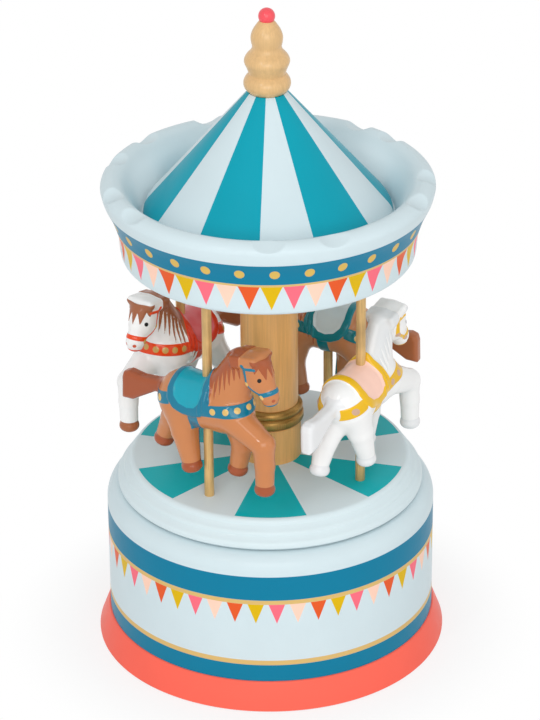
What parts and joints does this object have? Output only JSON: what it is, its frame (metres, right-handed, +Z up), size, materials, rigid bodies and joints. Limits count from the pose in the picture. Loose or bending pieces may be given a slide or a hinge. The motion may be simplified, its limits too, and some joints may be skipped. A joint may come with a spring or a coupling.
{
  "type": "wind-up music box",
  "caption": "Wooden carousel music box: a turning deck of painted horses under a crown canopy and cone roof, on a drum with a wind-up comb movement.",
  "frame": {"origin": "centre of the foot's underside, on the axis the carousel turns about", "axes": "+Z up along the carousel axis, -Y towards the front, +X to the right as seen from the front"},
  "size_m": [0.115, 0.115, 0.2198],
  "materials": {
    "coral_wood": "gloss lacquer",
    "pale_wood": "gloss lacquer",
    "cone_wood": "gloss lacquer",
    "bare_wood": "satin",
    "ball_wood": "gloss lacquer",
    "board": "bare",
    "gilt_wood": "satin",
    "horse_brown": "gloss lacquer",
    "horse_white": "gloss lacquer",
    "pole_brass": "satin",
    "brass": "satin",
    "steel": "satin",
    "zinc": "satin"
  },
  "bodies": {
    "base": {"foot_ring": "coral_wood", "foot_screws": "steel", "drum_shell": "pale_wood", "base_board": "board", "shaft_bush": "brass", "thrust_washer": "brass", "bedplate": "zinc", "bedplate_screws": "steel", "inner_cheek": "zinc", "outer_cheek": "zinc", "cheek_screws": "steel", "comb_block": "zinc", "comb": "steel", "comb_screws": "steel", "governor_bracket": "brass", "clutch_spring": "steel"},
    "carousel": {"drive_wheel": "brass", "barrel_case": "brass", "mainspring": "steel", "drive_shaft": "steel", "deck_hub": "brass", "hub_screws": "steel", "deck": "pale_wood", "column": "bare_wood", "column_ring": "gilt_wood", "tie_rod": "steel", "canopy": "pale_wood", "roof_cone": "cone_wood", "finial": "bare_wood", "finial_ball": "ball_wood", "pole_1": "pole_brass", "pole_2": "pole_brass", "pole_3": "pole_brass", "pole_4": "pole_brass", "horse_1": "horse_brown", "horse_2": "horse_white", "horse_3": "horse_brown", "horse_4": "horse_white"},
    "cylinder": {"pin_cylinder": "brass", "cylinder_arbor": "steel", "crown_pinion": "brass", "cylinder_gear": "brass"},
    "idler": {"idler_arbor": "steel", "idler_pinion": "brass", "worm_wheel": "brass"},
    "governor": {"worm_shaft": "steel", "fly_vane": "brass"},
    "key": {"winding_arbor": "steel", "winding_key": "steel"}
  },
  "joints": [
    {"name": "carousel_spin", "type": "hinge", "parent": "base", "child": "carousel", "pos_m": [0, 0, 0], "axis": [0, 0, 1], "continuous": true},
    {"name": "cylinder_spin", "type": "hinge", "parent": "base", "child": "cylinder", "pos_m": [0.024, 0, 0.02549], "axis": [1, 0, 0], "continuous": true},
    {"name": "idler_spin", "type": "hinge", "parent": "base", "child": "idler", "pos_m": [0.0325, -0.009, 0.02549], "axis": [1, 0, 0], "continuous": true},
    {"name": "governor_spin", "type": "hinge", "parent": "base", "child": "governor", "pos_m": [0.0381, -0.01645, 0.02549], "axis": [0, 0, 1], "continuous": true},
    {"name": "key_turn", "type": "hinge", "parent": "base", "child": "key", "pos_m": [0, 0, 0], "axis": [0, 0, 1], "continuous": true}
  ],
  "couplings": [
    {"joint": "cylinder_spin", "follows": "carousel_spin", "ratio": 2.8571},
    {"joint": "idler_spin", "follows": "carousel_spin", "ratio": -7.4286},
    {"joint": "governor_spin", "follows": "carousel_spin", "ratio": -178.29}
  ]
}
